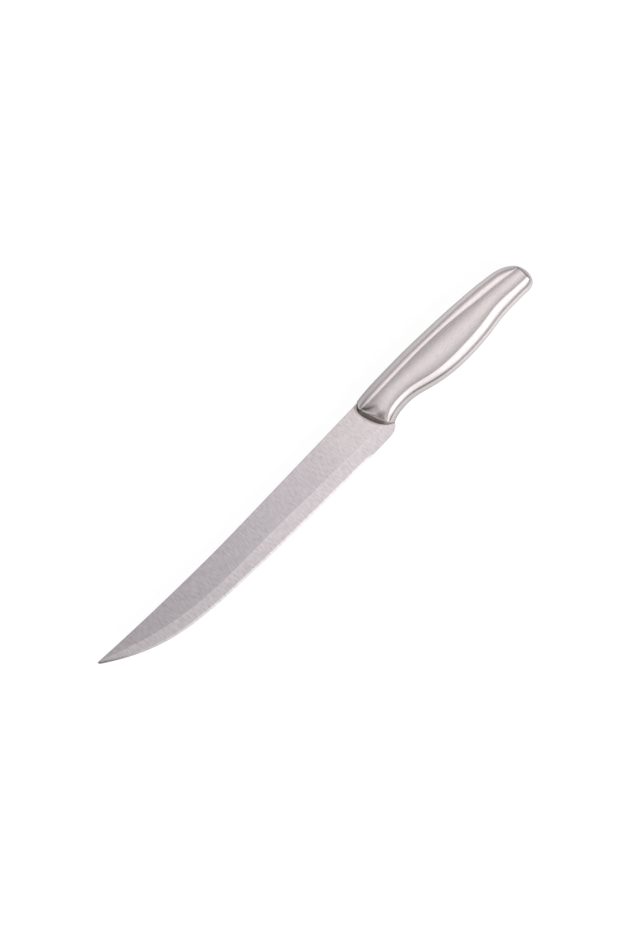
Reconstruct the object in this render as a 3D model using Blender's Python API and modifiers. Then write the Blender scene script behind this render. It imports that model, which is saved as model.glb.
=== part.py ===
"""Fillet knife: a ground steel blade with a stub tang in a hollow handle pressed from two sheets.

The knife lies on its right side. X runs from the butt to the tip, Y from the spine to the
cutting edge, and Z out of the left side of the blade. Lengths are in metres. The knife's own
zero is where its axis leaves the handle: x ahead of it is blade, x behind it is handle.
"""

import math

import bmesh
import bpy
import numpy as np
from mathutils import Matrix

# Blade outline
BLADE_LENGTH = 0.2023
BLADE_THICKNESS = 0.0018
SPINE_Y = -0.01206
SPINE_BEND_FROM_TIP = 0.1003
TIP_SPINE_Y = -0.0165
TIP_EDGE_Y = -0.0161
TIP_SPINE_HEADING = -4.4
TIP_EDGE_HEADING = 100.0
TIP_ROUND_FROM_TIP = 0.0009
TIP_ROUND_Y = -0.0146
TIP_ROUND_HEADING = 145.0
SWEEP_START_FROM_TIP = 0.0968
SWEEP_START_Y = 0.01126
SWEEP_START_HEADING = 176.4
SWEEP_MIDDLE_FROM_TIP = 0.0541
SWEEP_MIDDLE_Y = 0.0075
SWEEP_MIDDLE_HEADING = 171.5
EDGE_START_Y = 0.0139
EDGE_START_HEADING = 178.9
HEEL_STEP_X = 0.0135
HEEL_STEP_LENGTH = 0.0045
HEEL_Y = 0.0140
HEEL_FRONT_X = 0.0030
HEEL_MIDDLE_X = -0.0050
HEEL_MIDDLE_Y = 0.0121
HEEL_MIDDLE_HEADING = 222.0

# Stub tang
TANG_LENGTH = 0.045
TANG_TOP_Y = -0.0080
TANG_BOTTOM_Y = 0.0045
TANG_CORNER = 0.0030
SPINE_SHOULDER_X = -0.0006
TANG_ROOT_X = -0.0110
TANG_HOLE_RADIUS = 0.0022
TANG_HOLE_INSET = 0.010

# Ground sides of the blade
BEVEL_HEEL_Y = 0.0069
BEVEL_BEND_X = 0.0739
BEVEL_BEND_Y = 0.00366
BEVEL_BEND_HEADING = -2.4
BEVEL_MIDDLE_FROM_TIP = 0.0573
BEVEL_MIDDLE_Y = 0.0002
BEVEL_MIDDLE_HEADING = -8.5
BEVEL_END_FROM_TIP = 0.0030
BEVEL_END_Y = -0.0158
BEVEL_END_HEADING = -23.0
EDGE_HALF_THICKNESS = 0.00042
EDGE_BEVEL_WIDTH = 0.0013
EDGE_LAND = 0.0001
GRIND_BACK_X = -0.0080
GRIND_MARGIN = 0.0015
TAPER_START_X = 0.0045
TIP_THICKNESS = 0.0010

# Handle outline, from the nose round the butt to the notch
HANDLE_LENGTH = 0.1179
NOSE_SPINE_Y = -0.0112
NOSE_SPINE_HEADING = 193.0
GRIP_SPINE_X = -0.0248
GRIP_SPINE_Y = -0.01357
BACK_X = -0.0800
BACK_Y = -0.0107
BACK_HEADING = 171.5
RUMP_FROM_BUTT = 0.0088
RUMP_Y = -0.0058
RUMP_HEADING = 155.0
BUTT_SPINE_FROM_BUTT = 0.0012
BUTT_SPINE_Y = 0.0003
BUTT_SPINE_HEADING = 118.0
BUTT_MIDDLE_Y = 0.0055
BUTT_BELLY_FROM_BUTT = 0.0022
BUTT_BELLY_Y = 0.0118
BUTT_BELLY_HEADING = 51.0
PALM_FROM_BUTT = 0.0125
PALM_Y = 0.0135
BELLY_RISE_FROM_BUTT = 0.0320
BELLY_RISE_Y = 0.0140
BELLY_RISE_HEADING = 8.0
BELLY_X = -0.0642
BELLY_Y = 0.01556
BELLY_FALL_X = -0.0370
BELLY_FALL_Y = 0.0123
BELLY_FALL_HEADING = -15.0
NOTCH_X = -0.0192
NOTCH_Y = 0.0085
NOSE_BELLY_X = -0.0066
NOSE_BELLY_Y = 0.0107
NOSE_BELLY_HEADING = 26.0
BELLY_STOCK_RISE = 0.0062

# Creases between the side panel and the shoulders
SPINE_SHOULDER_WIDTH = 0.0066
BELLY_SHOULDER_WIDTH = 0.0077
NOTCH_SHOULDER_WIDTH = 0.0060
CREASE_BUTT_INSET = 0.0035
CREASE_SPINE_BUTT_Y = 0.0020
CREASE_SPINE_HEADING = 166.0
CREASE_BELLY_BUTT_Y = 0.0072
CREASE_NOSE_X = -0.0070
CREASE_NOSE_Y = 0.0062
CREASE_NOSE_HEADING = 30.0
CREASE_STOCK_RISE = 0.0030

# Handle section
HANDLE_HALF_THICKNESS = 0.0080
NOSE_DIP = 0.0019
NOSE_DIP_X = 0.0010
NOSE_FADE = 0.0070
BUTT_DROP = 0.0005
PANEL_RADIUS = 0.070
CREASE_ANGLE = 22.0
SHOULDER_TOP_PULL = 0.60
SHOULDER_SIDE_PULL = 0.43
SHEET = 0.0008

# Nose: the handle ends on a cone that stands round this point
NOSE_CENTRE_X = -0.01706
NOSE_CENTRE_Y = -0.00541
NOSE_RADIUS = 0.0198
NOSE_LEAN = 33.0
NOSE_STOCK = 0.0060

# Cement in the front of the handle
FILLER_PAST_TANG = 0.010

# Clearances between pieces
FIT = 0.0003
SEAM_GAP = 0.0003

# How far cutters reach past what they cut
CUTTER_MARGIN = 0.0020

# Fineness of the surfaces
SIDE_STATIONS = 34
BUTT_STATIONS = 8
SHOULDER_STEPS = 7
SPAN_STEPS = 24
CURVE_PULL = 0.36
CONE_SEGMENTS = 160
GRIND_STATIONS = 60
HOLE_SEGMENTS = 32
WELD = 0.00001
MIRROR_MERGE = 0.0001
BLADE_SHARP_ANGLE = 15.0
HANDLE_SHARP_ANGLE = 12.0
CEMENT_SHARP_ANGLE = 30.0

HALF_BLADE = BLADE_THICKNESS / 2.0
BUTT_X = -HANDLE_LENGTH
FILLER_LENGTH = TANG_LENGTH + FILLER_PAST_TANG
KNIFE_MIDDLE_X = (BLADE_LENGTH + BUTT_X) / 2.0
KNIFE_MIDDLE_Y = (TIP_SPINE_Y + BELLY_Y) / 2.0

COLLECTION_NAME = "fillet_knife"


def clear_scene():
    """Remove what the scene holds, so that a second run starts clean."""
    for item in list(bpy.data.objects):
        bpy.data.objects.remove(item, do_unlink=True)
    for group in list(bpy.data.collections):
        bpy.data.collections.remove(group)


def make_collection(name):
    group = bpy.data.collections.new(name)
    bpy.context.scene.collection.children.link(group)
    return group


def make_material(name, colour, roughness, metallic):
    material = bpy.data.materials.new(name)
    material.use_nodes = True
    shader = material.node_tree.nodes["Principled BSDF"]
    shader.inputs["Base Color"].default_value = (*colour, 1.0)
    shader.inputs["Roughness"].default_value = roughness
    shader.inputs["Metallic"].default_value = metallic
    return material


def add_object(name, mesh, group, parent):
    """Link one object and hang it on the knife's empty."""
    item = bpy.data.objects.new(name, mesh)
    group.objects.link(item)
    item.parent = parent
    return item


def add_cutter(name, mesh, group, parent):
    cutter = add_object(name, mesh, group, parent)
    cutter.hide_render = True
    cutter.display_type = "WIRE"
    return cutter


def add_boolean(item, cutter, operation="DIFFERENCE"):
    modifier = item.modifiers.new(cutter.name, "BOOLEAN")
    modifier.operation = operation
    modifier.solver = "EXACT"
    modifier.object = cutter


def finish_mesh(mesh, material, sharp_degrees):
    mesh.materials.clear()
    mesh.materials.append(material)
    mesh.shade_smooth()
    mesh.set_sharp_from_angle(angle=math.radians(sharp_degrees))


def direction(heading):
    """Unit vector of a heading in degrees, in the plan of the knife."""
    angle = math.radians(heading)
    return np.array([math.cos(angle), math.sin(angle)])


def trace(knots, steps=SPAN_STEPS):
    """Smooth curve through knots (x, y, heading), with handles of CURVE_PULL times each chord."""
    points = [np.array(knots[0][:2])]
    for (x0, y0, turn0), (x1, y1, turn1) in zip(knots, knots[1:]):
        start = np.array([x0, y0])
        end = np.array([x1, y1])
        reach = CURVE_PULL * np.linalg.norm(end - start)
        leave = start + reach * direction(turn0)
        arrive = end - reach * direction(turn1)
        for t in np.arange(1, steps + 1) / steps:
            s = 1.0 - t
            points.append(s**3 * start + 3 * s * s * t * leave + 3 * s * t * t * arrive + t**3 * end)
    return np.array(points)


def resample(points, count):
    """Points along a curve, closer together toward both of its ends."""
    steps = np.linalg.norm(np.diff(points, axis=0), axis=1)
    length = np.concatenate([[0.0], np.cumsum(steps)])
    even = np.linspace(0.0, 1.0, count + 1)
    eased = (even + 0.5 - 0.5 * np.cos(math.pi * even)) / 2.0
    marks = eased * length[-1]
    return np.column_stack([np.interp(marks, length, points[:, axis]) for axis in (0, 1)])


def sideways(points, amount, closed=False):
    """Move a plan line to the right of its direction of travel, with mitred corners."""
    steps = np.diff(np.vstack([points, points[:1]]) if closed else points, axis=0)
    steps = steps / np.linalg.norm(steps, axis=1)[:, None]
    after = steps if closed else np.vstack([steps, steps[-1:]])
    before = np.roll(steps, 1, axis=0) if closed else np.vstack([steps[:1], steps])
    along = before + after
    along = along / np.linalg.norm(along, axis=1)[:, None]
    mitre = 1.0 / np.sum(along * after, axis=1)
    return points + (amount * mitre)[:, None] * np.column_stack([along[:, 1], -along[:, 0]])


def edge_sweep():
    """Cutting edge in plan from the tip's round back to the heel step."""
    return trace([
        (BLADE_LENGTH - TIP_ROUND_FROM_TIP, TIP_ROUND_Y, TIP_ROUND_HEADING),
        (BLADE_LENGTH - SWEEP_MIDDLE_FROM_TIP, SWEEP_MIDDLE_Y, SWEEP_MIDDLE_HEADING),
        (BLADE_LENGTH - SWEEP_START_FROM_TIP, SWEEP_START_Y, SWEEP_START_HEADING),
        (HEEL_STEP_X + HEEL_STEP_LENGTH, EDGE_START_Y, EDGE_START_HEADING),
    ])


def blade_outline():
    """Plan of the sheet that the blade and its tang are stamped from."""
    shoulder = np.array([[SPINE_SHOULDER_X, TANG_TOP_Y], [SPINE_SHOULDER_X, SPINE_Y]])
    spine = trace([
        (BLADE_LENGTH - SPINE_BEND_FROM_TIP, SPINE_Y, 0.0),
        (BLADE_LENGTH, TIP_SPINE_Y, TIP_SPINE_HEADING),
    ])
    tip = trace([
        (BLADE_LENGTH, TIP_EDGE_Y, TIP_EDGE_HEADING),
        (BLADE_LENGTH - TIP_ROUND_FROM_TIP, TIP_ROUND_Y, TIP_ROUND_HEADING),
    ])
    step = trace([
        (HEEL_STEP_X + HEEL_STEP_LENGTH, EDGE_START_Y, EDGE_START_HEADING),
        (HEEL_STEP_X, HEEL_Y, 180.0),
    ])
    heel = trace([
        (HEEL_FRONT_X, HEEL_Y, 180.0),
        (HEEL_MIDDLE_X, HEEL_MIDDLE_Y, HEEL_MIDDLE_HEADING),
        (TANG_ROOT_X, TANG_BOTTOM_Y, 180.0),
    ])
    end_bottom = trace([
        (TANG_CORNER - TANG_LENGTH, TANG_BOTTOM_Y, 180.0),
        (-TANG_LENGTH, TANG_BOTTOM_Y - TANG_CORNER, 270.0),
    ])
    end_top = trace([
        (-TANG_LENGTH, TANG_TOP_Y + TANG_CORNER, 270.0),
        (TANG_CORNER - TANG_LENGTH, TANG_TOP_Y, 360.0),
    ])
    return np.vstack([shoulder, spine, tip, edge_sweep()[1:], step[1:], heel, end_bottom, end_top])


def circle(centre, radius):
    turns = np.arange(HOLE_SEGMENTS) * 2.0 * math.pi / HOLE_SEGMENTS
    return np.array(centre) + radius * np.column_stack([np.cos(turns), np.sin(turns)])


def plate_mesh(name, outlines, half_thickness):
    """Flat plate between closed outlines: the first is its edge and the others are holes."""
    curve = bpy.data.curves.new(name, "CURVE")
    curve.dimensions = "2D"
    curve.fill_mode = "BOTH"
    curve.extrude = half_thickness
    for outline in outlines:
        spline = curve.splines.new("POLY")
        spline.points.add(len(outline) - 1)
        for point, (x, y) in zip(spline.points, outline):
            point.co = (x, y, 0.0, 1.0)
        spline.use_cyclic_u = True
    item = bpy.data.objects.new(name, curve)
    bpy.context.scene.collection.objects.link(item)
    mesh = evaluated_mesh(item)
    bpy.data.objects.remove(item, do_unlink=True)
    shell = bmesh.new()
    shell.from_mesh(mesh)
    bmesh.ops.remove_doubles(shell, verts=shell.verts, dist=WELD)
    bmesh.ops.recalc_face_normals(shell, faces=shell.faces)
    shell.to_mesh(mesh)
    shell.free()
    return mesh


def evaluated_mesh(item):
    """A mesh of an object as its modifiers leave it."""
    bpy.context.view_layer.update()
    evaluated = item.evaluated_get(bpy.context.evaluated_depsgraph_get())
    return bpy.data.meshes.new_from_object(evaluated)


def mirrored(mesh, name):
    """Copy of a mesh turned over through the knife's middle plane."""
    copy = mesh.copy()
    copy.name = name
    copy.transform(Matrix.Scale(-1.0, 4, (0.0, 0.0, 1.0)))
    copy.flip_normals()
    return copy


def loft_mesh(name, sections):
    """Closed solid through sections with as many corners each, with a flat cap on both ends."""
    solid = bmesh.new()
    rings = [[solid.verts.new(point) for point in section] for section in sections]
    count = len(sections[0])
    for ring, following in zip(rings, rings[1:]):
        for corner in range(count):
            beside = (corner + 1) % count
            solid.faces.new((ring[corner], ring[beside], following[beside], following[corner]))
    solid.faces.new(rings[0])
    solid.faces.new(rings[-1])
    return solid_mesh(name, solid)


def box_mesh(name, low, high):
    size = np.array(high) - np.array(low)
    centre = (np.array(high) + np.array(low)) / 2.0
    box = bmesh.new()
    place = Matrix.Translation(centre) @ Matrix.Diagonal((*size, 1.0))
    bmesh.ops.create_cube(box, size=1.0, matrix=place)
    return solid_mesh(name, box)


def solid_mesh(name, solid):
    bmesh.ops.recalc_face_normals(solid, faces=solid.faces)
    mesh = bpy.data.meshes.new(name)
    solid.to_mesh(mesh)
    solid.free()
    return mesh


def run_along(line, x):
    """Value of a plan line at x, run on straight past both of its ends."""
    order = np.argsort(line[:, 0])
    xs, ys = line[order, 0], line[order, 1]
    if x < xs[0]:
        return ys[0] + (x - xs[0]) * (ys[1] - ys[0]) / (xs[1] - xs[0])
    if x > xs[-1]:
        return ys[-1] + (x - xs[-1]) * (ys[-1] - ys[-2]) / (xs[-1] - xs[-2])
    return float(np.interp(x, xs, ys))


def half_thickness(x):
    """Half the thickness of the blade's flats at x: even through the heel, then thinning."""
    slope = (BLADE_THICKNESS - TIP_THICKNESS) / 2.0 / (BLADE_LENGTH - TAPER_START_X)
    return HALF_BLADE - slope * (x - TAPER_START_X)


def taper_sections():
    """Sections of the wedge that thins the left side from the heel to the tip."""
    top = HALF_BLADE + GRIND_MARGIN
    spine_y = TIP_SPINE_Y - GRIND_MARGIN
    edge_y = HEEL_Y + GRIND_MARGIN
    sections = []
    for x in (TAPER_START_X - GRIND_MARGIN, BLADE_LENGTH + GRIND_MARGIN):
        low = half_thickness(x)
        sections.append([(x, spine_y, low), (x, edge_y, low), (x, edge_y, top), (x, spine_y, top)])
    return sections


def grind_sections():
    """Sections of what the grinding takes off the left side, from the heel to past the tip."""
    bevel = trace([
        (GRIND_BACK_X, BEVEL_HEEL_Y, BEVEL_BEND_HEADING),
        (BEVEL_BEND_X, BEVEL_BEND_Y, BEVEL_BEND_HEADING),
        (BLADE_LENGTH - BEVEL_MIDDLE_FROM_TIP, BEVEL_MIDDLE_Y, BEVEL_MIDDLE_HEADING),
        (BLADE_LENGTH - BEVEL_END_FROM_TIP, BEVEL_END_Y, BEVEL_END_HEADING),
    ])
    edge = edge_sweep()
    steps = np.linspace(0.0, 1.0, GRIND_STATIONS + 1)
    stretch = BLADE_LENGTH + GRIND_MARGIN - GRIND_BACK_X
    even = GRIND_BACK_X + steps * stretch
    stations = sorted([*even, HEEL_STEP_X, HEEL_STEP_X + HEEL_STEP_LENGTH])
    top = HALF_BLADE + GRIND_MARGIN
    sections = []
    for x in stations:
        line_y = run_along(bevel, x)
        edge_y = run_along(edge, x)
        narrow_y = edge_y - EDGE_BEVEL_WIDTH
        flat_z = min(HALF_BLADE, half_thickness(x))
        slope = (flat_z - EDGE_HALF_THICKNESS) / (narrow_y - line_y)
        edge_slope = (EDGE_HALF_THICKNESS - EDGE_LAND / 2.0) / EDGE_BEVEL_WIDTH
        sharpened = min(1.0, max(0.0, (x - HEEL_STEP_X) / HEEL_STEP_LENGTH))
        outer_slope = slope + (edge_slope - slope) * sharpened
        outer_z = EDGE_HALF_THICKNESS - outer_slope * (EDGE_BEVEL_WIDTH + GRIND_MARGIN)
        sections.append([
            (x, line_y - GRIND_MARGIN, flat_z + slope * GRIND_MARGIN),
            (x, narrow_y, EDGE_HALF_THICKNESS),
            (x, edge_y + GRIND_MARGIN, outer_z),
            (x, edge_y + GRIND_MARGIN, top),
            (x, line_y - GRIND_MARGIN, top),
        ])
    return sections


# Handle
def handle_lines():
    """Outline and crease of the handle in plan, each as a spine, butt and belly stretch."""
    spine = trace([
        (NOSE_STOCK, NOSE_SPINE_Y, NOSE_SPINE_HEADING),
        (GRIP_SPINE_X, GRIP_SPINE_Y, 180.0),
        (BACK_X, BACK_Y, BACK_HEADING),
        (BUTT_X + RUMP_FROM_BUTT, RUMP_Y, RUMP_HEADING),
        (BUTT_X + BUTT_SPINE_FROM_BUTT, BUTT_SPINE_Y, BUTT_SPINE_HEADING),
    ])
    butt = trace([
        (BUTT_X + BUTT_SPINE_FROM_BUTT, BUTT_SPINE_Y, BUTT_SPINE_HEADING),
        (BUTT_X, BUTT_MIDDLE_Y, 90.0),
        (BUTT_X + BUTT_BELLY_FROM_BUTT, BUTT_BELLY_Y, BUTT_BELLY_HEADING),
    ])
    belly = trace([
        (BUTT_X + BUTT_BELLY_FROM_BUTT, BUTT_BELLY_Y, BUTT_BELLY_HEADING),
        (BUTT_X + PALM_FROM_BUTT, PALM_Y, 0.0),
        (BUTT_X + BELLY_RISE_FROM_BUTT, BELLY_RISE_Y, BELLY_RISE_HEADING),
        (BELLY_X, BELLY_Y, 0.0),
        (BELLY_FALL_X, BELLY_FALL_Y, BELLY_FALL_HEADING),
        (NOTCH_X, NOTCH_Y, 0.0),
        (NOSE_BELLY_X, NOSE_BELLY_Y, NOSE_BELLY_HEADING),
        (NOSE_STOCK, NOSE_BELLY_Y + BELLY_STOCK_RISE, NOSE_BELLY_HEADING),
    ])
    crease_butt_x = BUTT_X + CREASE_BUTT_INSET
    spine_crease = trace([
        (NOSE_STOCK, GRIP_SPINE_Y + SPINE_SHOULDER_WIDTH, 180.0),
        (GRIP_SPINE_X, GRIP_SPINE_Y + SPINE_SHOULDER_WIDTH, 180.0),
        (BACK_X, BACK_Y + SPINE_SHOULDER_WIDTH, BACK_HEADING),
        (crease_butt_x, CREASE_SPINE_BUTT_Y, CREASE_SPINE_HEADING),
    ])
    butt_crease = np.array([
        (crease_butt_x, CREASE_SPINE_BUTT_Y),
        (crease_butt_x, CREASE_BELLY_BUTT_Y),
    ])
    fall_width = (BELLY_SHOULDER_WIDTH + NOTCH_SHOULDER_WIDTH) / 2.0
    belly_crease = trace([
        (crease_butt_x, CREASE_BELLY_BUTT_Y, 0.0),
        (BUTT_X + BELLY_RISE_FROM_BUTT, BELLY_RISE_Y - BELLY_SHOULDER_WIDTH, BELLY_RISE_HEADING),
        (BELLY_X, BELLY_Y - BELLY_SHOULDER_WIDTH, 0.0),
        (BELLY_FALL_X, BELLY_FALL_Y - fall_width, BELLY_FALL_HEADING),
        (NOTCH_X, NOTCH_Y - NOTCH_SHOULDER_WIDTH, 0.0),
        (CREASE_NOSE_X, CREASE_NOSE_Y, CREASE_NOSE_HEADING),
        (NOSE_STOCK, NOSE_BELLY_Y + CREASE_STOCK_RISE, CREASE_NOSE_HEADING),
    ])
    outline = (spine, butt, belly)
    crease = (spine_crease, butt_crease, belly_crease)
    return outline, crease


def side_height(x):
    """Height of the panel's middle line above the knife's middle plane."""
    toward_nose = math.exp(min(0.0, x - NOSE_DIP_X) / NOSE_FADE)
    toward_butt = min(1.0, max(0.0, x / BUTT_X)) ** 2
    return HANDLE_HALF_THICKNESS - NOSE_DIP * toward_nose - BUTT_DROP * toward_butt


def shoulder_ring(width, height, step):
    """Point of the shoulder as shares of its width and height: 0 is the crease, 1 the seam."""
    t = step / SHOULDER_STEPS
    s = 1.0 - t
    drop = SHOULDER_TOP_PULL * math.tan(math.radians(CREASE_ANGLE)) * width / height
    outward = 3.0 * s * s * t * SHOULDER_TOP_PULL + 3.0 * s * t * t + t**3
    upward = s**3 + 3.0 * s * s * t * (1.0 - drop) + 3.0 * s * t * t * SHOULDER_SIDE_PULL
    return outward, upward


def handle_skin(name, inset, floor):
    """Left half of the handle as a solid: its surface moved in by inset, closed at z = floor."""
    outline, crease = handle_lines()
    counts = (SIDE_STATIONS, BUTT_STATIONS, SIDE_STATIONS)
    rim = [resample(line, count) for line, count in zip(outline, counts)]
    top = [resample(line, count) for line, count in zip(crease, counts)]
    rim = np.vstack([rim[0], rim[1][1:], rim[2][1:]])
    top = np.vstack([top[0], top[1][1:], top[2][1:]])
    rim = sideways(rim, inset)
    solid = bmesh.new()
    last = len(rim) - 1
    span = np.linalg.norm(top - top[::-1], axis=1)
    span[SIDE_STATIONS:SIDE_STATIONS + BUTT_STATIONS] = span[SIDE_STATIONS]
    rings = []
    for (rim_x, rim_y), (top_x, top_y), across in zip(rim, top, span):
        height = side_height(top_x) - inset - across**2 / (8.0 * PANEL_RADIUS)
        width = math.hypot(rim_x - top_x, rim_y - top_y)
        ring = []
        for step in range(SHOULDER_STEPS + 1):
            outward, upward = shoulder_ring(width, height, step)
            z = floor if step == SHOULDER_STEPS else height * upward
            x = top_x + (rim_x - top_x) * outward
            y = top_y + (rim_y - top_y) * outward
            ring.append(solid.verts.new((x, y, z)))
        rings.append(ring)
    for ring, following in zip(rings, rings[1:]):
        for step in range(SHOULDER_STEPS):
            solid.faces.new((ring[step], ring[step + 1], following[step + 1], following[step]))
    rows = []
    for station in range(SIDE_STATIONS + 1):
        near, far = rings[station][0], rings[last - station][0]
        if station == SIDE_STATIONS:
            row = [ring[0] for ring in rings[SIDE_STATIONS:SIDE_STATIONS + BUTT_STATIONS + 1]]
        else:
            row = [near]
            for step in range(1, BUTT_STATIONS):
                share = step / BUTT_STATIONS
                crown = span[station] ** 2 / (8.0 * PANEL_RADIUS) * 4.0 * share * (1.0 - share)
                point = near.co.lerp(far.co, share)
                point.z += crown
                row.append(solid.verts.new(point))
            row.append(far)
        rows.append(row)
    for row, following in zip(rows, rows[1:]):
        for step in range(BUTT_STATIONS):
            solid.faces.new((row[step], row[step + 1], following[step + 1], following[step]))
    solid.faces.new([ring[-1] for ring in rings])
    nose = rings[0][::-1] + rows[0][1:-1] + rings[-1]
    solid.faces.new(nose)
    return solid_mesh(name, solid)


def nose_block(name, radius, group, parent):
    """What stands ahead of the nose: a block with the nose's cone taken out of it."""
    reach = 2.0 * NOSE_RADIUS
    lean = math.tan(math.radians(NOSE_LEAN))
    cone_low = -HANDLE_HALF_THICKNESS
    cone_high = HANDLE_HALF_THICKNESS + 2.0 * CUTTER_MARGIN
    cone = bmesh.new()
    bmesh.ops.create_cone(
        cone, cap_ends=True, segments=CONE_SEGMENTS,
        radius1=radius + (HALF_BLADE - cone_low) * lean,
        radius2=radius + (HALF_BLADE - cone_high) * lean,
        depth=cone_high - cone_low,
        matrix=Matrix.Translation((NOSE_CENTRE_X, NOSE_CENTRE_Y, (cone_low + cone_high) / 2.0)),
    )
    cone_cutter = add_cutter(name + "_cone", solid_mesh(name + "_cone", cone), group, parent)
    block = box_mesh(
        name,
        (NOSE_CENTRE_X, NOSE_CENTRE_Y - reach, cone_low + CUTTER_MARGIN),
        (NOSE_CENTRE_X + reach, NOSE_CENTRE_Y + reach, cone_high - CUTTER_MARGIN),
    )
    cutter = add_cutter(name, block, group, parent)
    add_boolean(cutter, cone_cutter)
    return cutter


def tang_hole_centre():
    return (TANG_HOLE_INSET - TANG_LENGTH, (TANG_TOP_Y + TANG_BOTTOM_Y) / 2.0)


def build_blade(parts, cutters, knife, steel):
    outlines = [blade_outline(), circle(tang_hole_centre(), TANG_HOLE_RADIUS)]
    blade = add_object("blade", plate_mesh("blade", outlines, HALF_BLADE), parts, knife)
    left_taper = loft_mesh("taper_left", taper_sections())
    left_grind = loft_mesh("grind_left", grind_sections())
    right_taper = mirrored(left_taper, "taper_right")
    right_grind = mirrored(left_grind, "grind_right")
    for mesh in (left_taper, right_taper, left_grind, right_grind):
        add_boolean(blade, add_cutter(mesh.name, mesh, cutters, knife))
    finish_mesh(blade.data, steel, BLADE_SHARP_ANGLE)


def build_shells(parts, cutters, knife, steel):
    hollow = add_cutter("hollow", handle_skin("hollow", SHEET, -SEAM_GAP), cutters, knife)
    nose_wall = NOSE_RADIUS - SHEET / math.cos(math.radians(NOSE_LEAN))
    add_boolean(hollow, nose_block("nose_inside", nose_wall, cutters, knife))
    nose = nose_block("nose_outside", NOSE_RADIUS, cutters, knife)
    left = add_object(
        "handle_shell_left",
        handle_skin("handle_shell_left", 0.0, SEAM_GAP / 2.0), parts, knife)
    slot = add_cutter("blade_slot", slot_mesh(), cutters, knife)
    for cutter in (hollow, nose, slot):
        add_boolean(left, cutter)
    finish_mesh(left.data, steel, HANDLE_SHARP_ANGLE)
    right_mesh = mirrored(evaluated_mesh(left), "handle_shell_right")
    right = add_object("handle_shell_right", right_mesh, parts, knife)
    finish_mesh(right.data, steel, HANDLE_SHARP_ANGLE)
    return right


def slot_mesh():
    """Room for the blade where it leaves the nose, open through the spine side."""
    outline = blade_outline()
    heel = outline[outline[:, 0] < NOSE_STOCK]
    heel = heel[heel[:, 1] > TANG_BOTTOM_Y]
    heel = heel[heel[:, 0] > TANG_ROOT_X]
    heel = sideways(heel, FIT)
    back_x = SPINE_SHOULDER_X - FIT
    front_x = NOSE_STOCK + CUTTER_MARGIN
    corners = np.array([
        (heel[-1, 0], TANG_TOP_Y),
        (back_x, TANG_TOP_Y),
        (back_x, SPINE_Y - CUTTER_MARGIN),
        (front_x, SPINE_Y - CUTTER_MARGIN),
        (front_x, heel[0, 1]),
    ])
    return plate_mesh("blade_slot", [np.vstack([corners, heel])], HALF_BLADE + FIT)


def build_filler(parts, cutters, knife, resin):
    """Cement cast round the tang: the front of the hollow, less the tang and a clearance."""
    filler = add_object(
        "tang_filler", handle_skin("tang_filler", SHEET + FIT, -SEAM_GAP), parts, knife)
    nose_wall = NOSE_RADIUS - (SHEET + FIT) / math.cos(math.radians(NOSE_LEAN))
    nose = nose_block("nose_cement", nose_wall, cutters, knife)
    rear = box_mesh(
        "filler_rear",
        (BUTT_X, -BELLY_Y - CUTTER_MARGIN, -HANDLE_HALF_THICKNESS),
        (-FILLER_LENGTH, BELLY_Y + CUTTER_MARGIN, HANDLE_HALF_THICKNESS + CUTTER_MARGIN),
    )
    rear = add_cutter(rear.name, rear, cutters, knife)
    pocket_outlines = [
        sideways(blade_outline(), FIT, closed=True),
        circle(tang_hole_centre(), TANG_HOLE_RADIUS - FIT),
    ]
    pocket = plate_mesh("tang_pocket", pocket_outlines, HALF_BLADE + FIT)
    pocket = add_cutter("tang_pocket", pocket, cutters, knife)
    for cutter in (nose, rear, pocket):
        add_boolean(filler, cutter)
    whole = filler.modifiers.new("both_sides", "MIRROR")
    whole.use_axis = (False, False, True)
    whole.use_bisect_axis = (False, False, True)
    whole.bisect_threshold = WELD
    whole.merge_threshold = MIRROR_MERGE
    finish_mesh(filler.data, resin, CEMENT_SHARP_ANGLE)


def build():
    clear_scene()
    parts = make_collection(COLLECTION_NAME)
    cutters = make_collection(COLLECTION_NAME + "_cutters")
    knife = bpy.data.objects.new("knife", None)
    parts.objects.link(knife)
    blade_steel = make_material("blade_steel", (0.60, 0.57, 0.58), 0.34, 1.0)
    handle_steel = make_material("handle_steel", (0.66, 0.63, 0.64), 0.26, 1.0)
    cement = make_material("cement", (0.28, 0.25, 0.22), 0.85, 0.0)
    build_blade(parts, cutters, knife, blade_steel)
    right = build_shells(parts, cutters, knife, handle_steel)
    build_filler(parts, cutters, knife, cement)
    underside = min(corner.co.z for corner in right.data.vertices)
    knife.location = (-KNIFE_MIDDLE_X, -KNIFE_MIDDLE_Y, -underside)


build()
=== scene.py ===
import math

import bmesh
import bpy
import numpy as np
from mathutils import Matrix, Vector


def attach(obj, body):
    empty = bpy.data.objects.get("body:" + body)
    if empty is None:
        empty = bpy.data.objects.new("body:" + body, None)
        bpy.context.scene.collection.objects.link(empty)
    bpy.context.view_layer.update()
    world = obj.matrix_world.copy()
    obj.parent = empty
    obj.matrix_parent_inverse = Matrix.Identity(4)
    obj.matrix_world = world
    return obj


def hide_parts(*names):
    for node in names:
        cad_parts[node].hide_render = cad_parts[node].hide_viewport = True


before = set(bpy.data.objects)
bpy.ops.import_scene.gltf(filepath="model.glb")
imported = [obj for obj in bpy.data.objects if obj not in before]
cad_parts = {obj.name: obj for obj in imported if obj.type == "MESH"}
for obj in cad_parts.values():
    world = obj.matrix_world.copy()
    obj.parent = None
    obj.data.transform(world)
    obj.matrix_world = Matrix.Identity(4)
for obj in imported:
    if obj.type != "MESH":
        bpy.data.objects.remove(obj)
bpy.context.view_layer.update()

# The knife's own zero is where its axis leaves the handle; the frame's zero is under the middle
knifeZero = np.array([-0.0422, 0.00047, 0.0079456])
mm = 0.001
weld = 0.0005  # points nearer than this become one, in millimetres
crowding = 1.25  # draws points toward the start of a line
planScale = 4  # plan coordinates to a metre


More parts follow.
